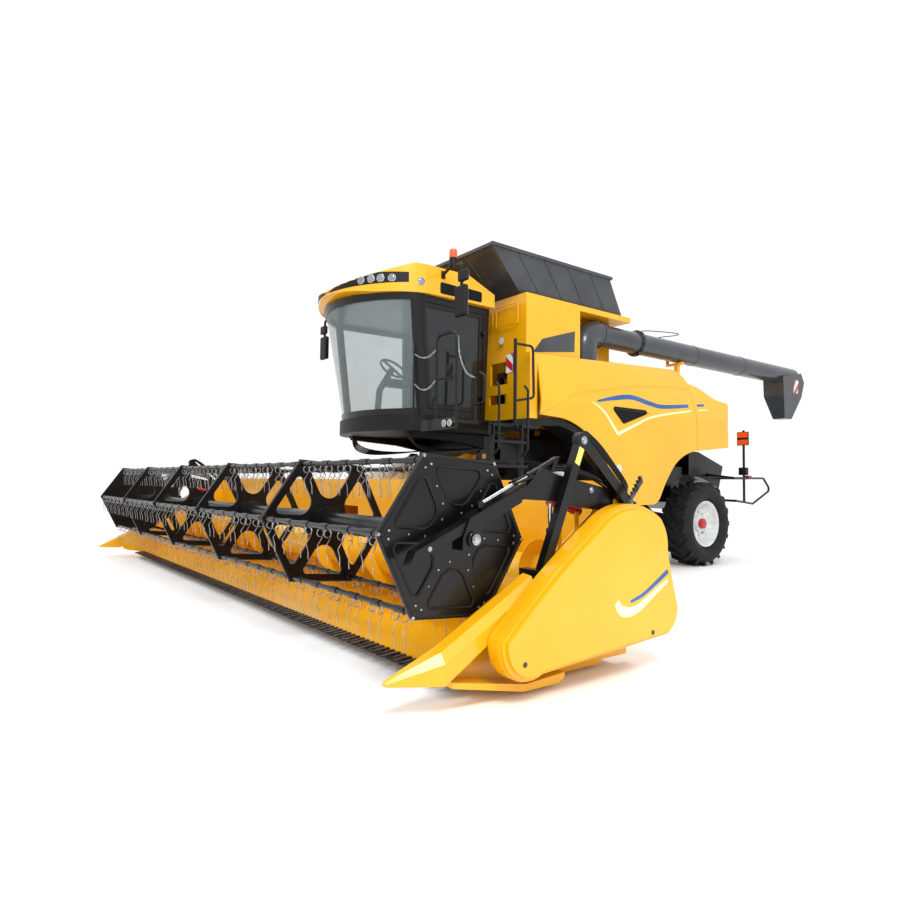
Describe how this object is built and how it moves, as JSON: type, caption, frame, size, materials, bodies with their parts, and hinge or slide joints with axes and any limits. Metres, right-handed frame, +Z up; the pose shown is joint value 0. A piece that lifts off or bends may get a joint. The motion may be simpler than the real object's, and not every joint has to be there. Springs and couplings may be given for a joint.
{
  "type": "combine harvester",
  "caption": "Combine harvester on tracks and steered rear wheels, with cab, open grain tank, swinging unloading auger and a wide cutting table with a tined reel.",
  "frame": {"origin": "on the ground at the middle of the overall length and width", "axes": "+Z up; the machine drives towards -Y; its left side, with door, ladder and auger, is +X"},
  "size_m": [9.9, 11.5161, 4.504],
  "materials": {
    "yellow_panel": "gloss",
    "yellow_steel": "gloss",
    "black_steel": "satin",
    "grey_steel": "satin",
    "white_steel": "satin",
    "belt_rubber": "matt",
    "tyre_rubber": "matt",
    "black_plastic": "matt",
    "tinted_glass": "gloss",
    "seat_cloth": "matt",
    "ram_chrome": "polished",
    "engine_iron": "satin",
    "knife_steel": "satin",
    "tine_steel": "satin"
  },
  "bodies": {
    "machine": {"main_frame": "black_steel", "front_axle": "black_steel", "track_belt_left": "belt_rubber", "track_belt_right": "belt_rubber", "track_drive_wheels": "white_steel", "track_gear": "black_steel", "rear_axle": "black_steel", "thresher_body": "black_steel", "front_wall": "yellow_steel", "front_fenders": "black_plastic", "grain_tank": "yellow_steel", "tank_extension": "grey_steel", "engine": "engine_iron", "engine_deck": "yellow_steel", "rear_hood": "yellow_panel", "chopper": "black_steel", "rear_guard": "black_steel", "cab_shell": "black_steel", "cab_glass": "tinted_glass", "cab_roof": "yellow_panel", "cab_base": "black_plastic", "cab_seat": "seat_cloth", "cab_console": "black_plastic", "platform": "black_steel", "mirrors": "black_plastic", "unload_elbow": "grey_steel"},
    "steer_left_body": {"knuckle_left": "black_steel"},
    "steer_right_body": {"knuckle_right": "black_steel"},
    "steer_link": {"tie_rod": "black_steel"},
    "rear_wheel_left": {"tyre_left": "tyre_rubber", "rim_left": "white_steel"},
    "rear_wheel_right": {"tyre_right": "tyre_rubber", "rim_right": "white_steel"},
    "door": {"cab_door": "black_steel", "door_glass": "tinted_glass"},
    "ladder_body": {"ladder": "black_steel"},
    "panel_left": {"side_panel_left": "yellow_panel"},
    "panel_right": {"side_panel_right": "yellow_panel"},
    "auger_tube": {"unload_tube": "grey_steel"},
    "table": {"feeder_house": "yellow_steel", "table_frame": "yellow_steel", "table_ends": "yellow_steel", "knife": "knife_steel", "end_shields": "yellow_panel", "side_frames": "black_steel"},
    "intake_auger": {"table_auger": "yellow_steel"},
    "lift_barrel_pair": {"lift_barrels": "black_steel"},
    "lift_rod_pair": {"lift_rods": "ram_chrome"},
    "reel_arm_pair": {"reel_arms": "black_steel"},
    "reel_barrel_pair": {"reel_lift_barrels": "black_steel"},
    "reel_rod_pair": {"reel_lift_rods": "ram_chrome"},
    "reel_slides": {"reel_carriages": "black_steel"},
    "reel_body": {"reel": "black_steel"},
    "tines_1": {"tine_bar_1": "tine_steel"},
    "tines_2": {"tine_bar_2": "tine_steel"},
    "tines_3": {"tine_bar_3": "tine_steel"},
    "tines_4": {"tine_bar_4": "tine_steel"},
    "tines_5": {"tine_bar_5": "tine_steel"},
    "tines_6": {"tine_bar_6": "tine_steel"}
  },
  "joints": [
    {"name": "steer_left", "type": "hinge", "parent": "machine", "child": "steer_left_body", "pos_m": [0.96, 2.54, 0.715], "axis": [0, 0, 1], "range_deg": [-30, 30]},
    {"name": "steer_right", "type": "hinge", "parent": "machine", "child": "steer_right_body", "pos_m": [-0.96, 2.54, 0.715], "axis": [0, 0, 1], "range_deg": [-30, 30]},
    {"name": "steer_link", "type": "hinge", "parent": "steer_left_body", "child": "steer_link", "pos_m": [0.96, 2.77, 0.62], "axis": [0, 0, 1], "range_deg": [-30, 30]},
    {"name": "rear_wheel_left_spin", "type": "hinge", "parent": "steer_left_body", "child": "rear_wheel_left", "pos_m": [1.37, 2.54, 0.715], "axis": [1, 0, 0], "continuous": true},
    {"name": "rear_wheel_right_spin", "type": "hinge", "parent": "steer_right_body", "child": "rear_wheel_right", "pos_m": [-1.37, 2.54, 0.715], "axis": [1, 0, 0], "continuous": true},
    {"name": "cab_door_open", "type": "hinge", "parent": "machine", "child": "door", "pos_m": [1.05, -2.01, 2.3], "axis": [0, 0, 1], "range_deg": [0, 70]},
    {"name": "ladder_swing", "type": "hinge", "parent": "machine", "child": "ladder_body", "pos_m": [1.84, -2.582, 2.02], "axis": [0, 0, -1], "range_deg": [0, 75]},
    {"name": "side_panel_left_open", "type": "hinge", "parent": "machine", "child": "panel_left", "pos_m": [1.472, 0.15, 3.262], "axis": [0, -1, 0], "range_deg": [0, 75]},
    {"name": "side_panel_right_open", "type": "hinge", "parent": "machine", "child": "panel_right", "pos_m": [-1.472, 0.15, 3.262], "axis": [0, 1, 0], "range_deg": [0, 75]},
    {"name": "unload_swing", "type": "hinge", "parent": "machine", "child": "auger_tube", "pos_m": [1.25, -0.22, 3.33], "axis": [0, 0, -1], "range_deg": [0, 100]},
    {"name": "feeder_lift", "type": "hinge", "parent": "machine", "child": "table", "pos_m": [0, -1.87, 1.74], "axis": [-1, 0, 0], "range_deg": [0, 14]},
    {"name": "lift_barrel_turn", "type": "hinge", "parent": "machine", "child": "lift_barrel_pair", "pos_m": [0, -1.55, 0.76], "axis": [-1, 0, 0], "range_deg": [0, 12.2]},
    {"name": "lift_rod_out", "type": "slide", "parent": "lift_barrel_pair", "child": "lift_rod_pair", "axis": [0, -0.9806, -0.1961], "range_m": [0, 0.25]},
    {"name": "intake_auger_spin", "type": "hinge", "parent": "table", "child": "intake_auger", "pos_m": [0, -4.14, 0.62], "axis": [1, 0, 0], "continuous": true},
    {"name": "reel_lift", "type": "hinge", "parent": "table", "child": "reel_arm_pair", "pos_m": [0, -3.8, 1.24], "axis": [-1, 0, 0], "range_deg": [-2, 20]},
    {"name": "reel_barrel_turn", "type": "hinge", "parent": "table", "child": "reel_barrel_pair", "pos_m": [0, -4.438, 0.725], "axis": [-1, 0, 0], "range_deg": [-0.3, 3]},
    {"name": "reel_rod_out", "type": "slide", "parent": "reel_barrel_pair", "child": "reel_rod_pair", "axis": [0, -0.0274, 0.9996], "range_m": [-0.023, 0.226]},
    {"name": "reel_reach", "type": "slide", "parent": "reel_arm_pair", "child": "reel_slides", "axis": [0, -0.917, -0.399], "range_m": [0, 0.4]},
    {"name": "reel_spin", "type": "hinge", "parent": "reel_slides", "child": "reel_body", "pos_m": [0, -5.175, 1.022], "axis": [1, 0, 0], "continuous": true},
    {"name": "tine_bar_1_turn", "type": "hinge", "parent": "reel_body", "child": "tines_1", "pos_m": [0, -5.71867, 1.06002], "axis": [1, 0, 0], "continuous": true},
    {"name": "tine_bar_2_turn", "type": "hinge", "parent": "reel_body", "child": "tines_2", "pos_m": [0, -5.47976, 0.57017], "axis": [1, 0, 0], "continuous": true},
    {"name": "tine_bar_3_turn", "type": "hinge", "parent": "reel_body", "child": "tines_3", "pos_m": [0, -4.93609, 0.53216], "axis": [1, 0, 0], "continuous": true},
    {"name": "tine_bar_4_turn", "type": "hinge", "parent": "reel_body", "child": "tines_4", "pos_m": [0, -4.63133, 0.98398], "axis": [1, 0, 0], "continuous": true},
    {"name": "tine_bar_5_turn", "type": "hinge", "parent": "reel_body", "child": "tines_5", "pos_m": [0, -4.87024, 1.47383], "axis": [1, 0, 0], "continuous": true},
    {"name": "tine_bar_6_turn", "type": "hinge", "parent": "reel_body", "child": "tines_6", "pos_m": [0, -5.41391, 1.51184], "axis": [1, 0, 0], "continuous": true}
  ],
  "couplings": [
    {"joint": "steer_right", "follows": "steer_left", "ratio": 1},
    {"joint": "steer_link", "follows": "steer_left", "ratio": -1},
    {"joint": "lift_barrel_turn", "follows": "feeder_lift", "ratio": 0.858},
    {"joint": "lift_rod_out", "follows": "feeder_lift", "m_per_rad": 1.0093},
    {"joint": "reel_barrel_turn", "follows": "reel_lift", "ratio": 0.143},
    {"joint": "reel_rod_out", "follows": "reel_lift", "m_per_rad": 0.6442},
    {"joint": "tine_bar_1_turn", "follows": "reel_spin", "ratio": -1},
    {"joint": "tine_bar_2_turn", "follows": "reel_spin", "ratio": -1},
    {"joint": "tine_bar_3_turn", "follows": "reel_spin", "ratio": -1},
    {"joint": "tine_bar_4_turn", "follows": "reel_spin", "ratio": -1},
    {"joint": "tine_bar_5_turn", "follows": "reel_spin", "ratio": -1},
    {"joint": "tine_bar_6_turn", "follows": "reel_spin", "ratio": -1}
  ]
}
